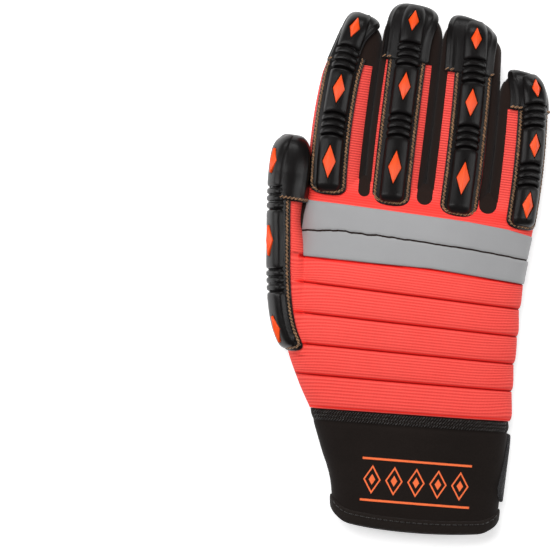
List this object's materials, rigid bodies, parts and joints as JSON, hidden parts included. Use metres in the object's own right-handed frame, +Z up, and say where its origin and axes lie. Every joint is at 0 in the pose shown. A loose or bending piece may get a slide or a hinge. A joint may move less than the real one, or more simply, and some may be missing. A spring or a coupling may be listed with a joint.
{
  "type": "impact work glove",
  "caption": "Right-hand work glove lying palm down: pleated knit back, rubber finger and thumb guards with lozenge inlays, silver knuckle band, leather palm patches, strapped cuff.",
  "frame": {"origin": "on the surface the glove lies on, below the middle of its bounding box", "axes": "+Y points from the cuff to the fingertips, +X to the little finger, +Z up out of the back of the hand"},
  "size_m": [0.1396, 0.2616, 0.0312],
  "materials": {
    "knit": "ribbed orange-red knit, matt",
    "leather": "soft black synthetic leather, matt",
    "stretch": "smooth dark stretch fabric",
    "reflective": "silver grey reflective fabric, soft sheen",
    "guard_rubber": "moulded black rubber, semi-gloss",
    "inlay_rubber": "moulded orange rubber, semi-gloss",
    "neoprene": "dark brown-black neoprene with a printed row of orange lozenges",
    "tape": "woven dark binding tape",
    "loop": "fuzzy dark loop fabric",
    "patch_leather": "dark grey leather with an embossed diagonal rib"
  },
  "bodies": {
    "root": {"back_panel": "knit", "palm_panel": "leather", "fourchette_index_middle": "stretch", "fourchette_middle_ring": "stretch", "fourchette_ring_little": "stretch", "knuckle_band": "reflective", "guard_index": "guard_rubber", "guard_middle": "guard_rubber", "guard_ring": "guard_rubber", "guard_little": "guard_rubber", "guard_thumb": "guard_rubber", "inlay_index_1": "inlay_rubber", "inlay_index_2": "inlay_rubber", "inlay_index_3": "inlay_rubber", "inlay_middle_1": "inlay_rubber", "inlay_middle_2": "inlay_rubber", "inlay_middle_3": "inlay_rubber", "inlay_ring_1": "inlay_rubber", "inlay_ring_2": "inlay_rubber", "inlay_ring_3": "inlay_rubber", "inlay_little_1": "inlay_rubber", "inlay_little_2": "inlay_rubber", "inlay_little_3": "inlay_rubber", "inlay_thumb_1": "inlay_rubber", "inlay_thumb_2": "inlay_rubber", "inlay_thumb_3": "inlay_rubber", "cuff": "neoprene", "cuff_binding": "tape", "wrist_strap": "loop", "palm_patch_upper": "patch_leather", "palm_patch_heel": "patch_leather", "palm_patch_thumb": "patch_leather", "pad_index": "patch_leather", "pad_middle": "patch_leather", "pad_ring": "patch_leather", "pad_little": "patch_leather"}
  },
  "joints": []
}
